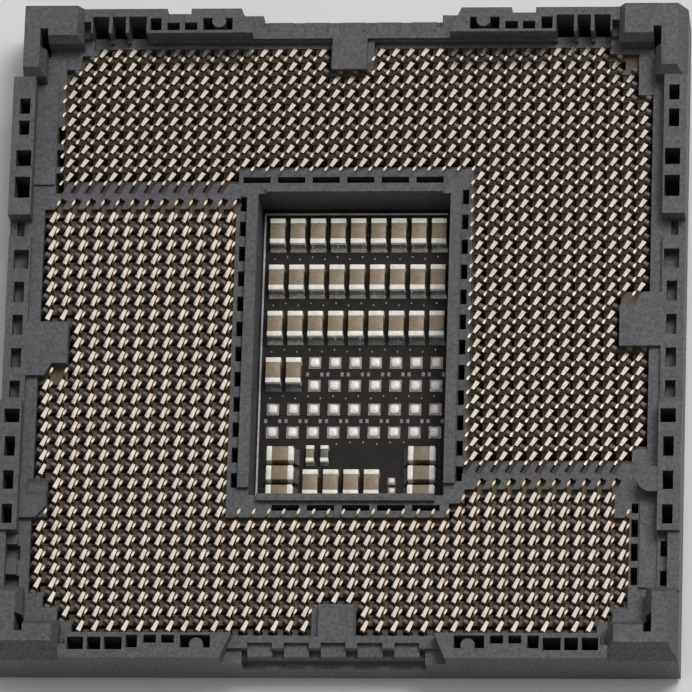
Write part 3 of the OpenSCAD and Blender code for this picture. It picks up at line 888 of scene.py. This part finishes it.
def modelTestLand(s, base):
    pad = addBlock("testLand", (s["width"], s["length"], s["high"]), (0, 0, base + s["high"] / 2))
    editTop(pad)
    bevelPicked(s["edge"], 2)
    dress(pad, dullTin)
    return pad


def modelHole(s, base):
    clearSelection()
    bpy.ops.mesh.primitive_cylinder_add(
        vertices=s["sides"], radius=s["across"] / 2 * mm, depth=s["high"] * mm,
        location=(0, 0, (base + s["high"] / 2) * mm))
    hole = bpy.context.object
    settle(hole)
    editTop(hole)
    bpy.ops.mesh.inset(thickness=s["ring"] * mm, depth=-s["high"] * s["deep"] * mm)
    leaveEdit()
    dress(hole, solder)
    return hole


def holePlaces(s, c):
    places = []
    for gap in range(s["gaps"]):
        middle = c["top"] - (gap + s["gapShare"]) * c["rows"]
        for i in range(s["count"]):
            shift = s["zigzag"] if i % 2 else -s["zigzag"]
            places.append((c["left"] + s["left"] + i * s["step"], middle + shift, 0))
    for i in range(s["lowCount"]):
        shift = s["lowUp"] if i % 3 else s["lowDown"]
        places.append((s["lowLeft"] + i * s["lowStep"], s["lowMiddle"] + shift, 0))
    return places


def modelPrint(s, base):  # two lines that meet at a corner
    middle = base + s["high"] / 2
    side = addBlock("printedSide", (s["wide"], s["sideLength"], s["high"]), (*s["sidePlace"], middle))
    head = addBlock("printedHead", (s["headLength"], s["wide"], s["high"]), (*s["headPlace"], middle))
    for line in (side, head):
        editTop(line)
        bevelPicked(s["edge"], 1)
        dress(line, printInk)
    return joinAs([side, head], "printedLine")


testPlaces = [(x + side * testLand["aside"], y, 0) for x, y in free for side in (-1, 1)]
squares = scatter(modelTestLand(testLand, capacitor["board"]), testPlaces, "testLands")
spare = scatter(modelLand(land, capacitor["board"], land["spareSize"]), land["sparePlaces"], "spareLands")
holes = scatter(modelHole(platedHole, capacitor["board"]), holePlaces(platedHole, capacitor), "platedHoles")
printedLine = modelPrint(printed, capacitor["board"])
for piece, slot in ((squares, "tin"), (spare, "tin"), (holes, "tin"), (printedLine, "board")):
    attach(piece, "socket")
print("lands and board marks placed")


# finishes of the solids that stay as they are
for name in ("seat_deck", "back_wall", "front_wall", "left_wall", "right_wall", "package_keys"):
    dress(cadNodes[name], plastic)
dress(cadNodes["contact_floor"], floorPlasticPaintedShade)
dress(cadNodes["window_board"], boardMask)
for name, node in cadNodes.items():
    if "_tails_" in name:
        dress(node, ballTin)
print("solids dressed")


# floor and light
studio = {
    "floor": {"size": 3, "pale": (0.78, 0.78, 0.77), "shade": 0.97, "cloud": 6, "rough": 0.7},
    "world": 0.27,
    "topSoftbox": {"place": (0.24, 0.22, 0.58), "size": 0.3, "power": 2.5},
    "keySoftbox": {"place": (0.1, 0.54, 0.52), "size": 0.7, "power": 0.68},
    "fillSoftbox": {"place": (-0.24, -0.1, 0.6), "size": 0.4, "power": 0.31},
}


def addFloor(s):
    clearSelection()
    bpy.ops.mesh.primitive_plane_add(size=s["size"], location=(0, 0, 0))
    floor = bpy.context.object
    floor.name = "studioFloor"
    finish, tree, shader = newFinish("paleFloor")
    cloud = noise(tree, objectPlace(tree), s["cloud"], detail=2, rough=0.5)
    shaded = tuple(v * s["shade"] for v in s["pale"])
    tone = ramp(tree, cloud, [(noiseLow, shaded), (noiseHigh, s["pale"])])
    tree.links.new(tone, shader.inputs["Base Color"])
    shader.inputs["Roughness"].default_value = s["rough"]
    dress(floor, finish)


def addSoftbox(name, s):  # a square lamp that faces the middle of the object
    clearSelection()
    bpy.ops.object.light_add(type="AREA", location=s["place"])
    lamp = bpy.context.object
    lamp.name = name
    lamp.data.shape = "SQUARE"
    lamp.data.size = s["size"]
    lamp.data.energy = s["power"]
    lamp.rotation_euler = Vector(s["place"]).to_track_quat("Z", "Y").to_euler()


def addWorld(strength):
    world = bpy.data.worlds.new("studioWorld")
    world.use_nodes = True
    background = world.node_tree.nodes["Background"]
    background.inputs["Color"].default_value = (*white, 1)
    background.inputs["Strength"].default_value = strength
    bpy.context.scene.world = world


addFloor(studio["floor"])
for name in ("topSoftbox", "keySoftbox", "fillSoftbox"):
    addSoftbox(name, studio[name])
addWorld(studio["world"])
bpy.context.scene.view_settings.view_transform = "Standard"
print("studio ready")
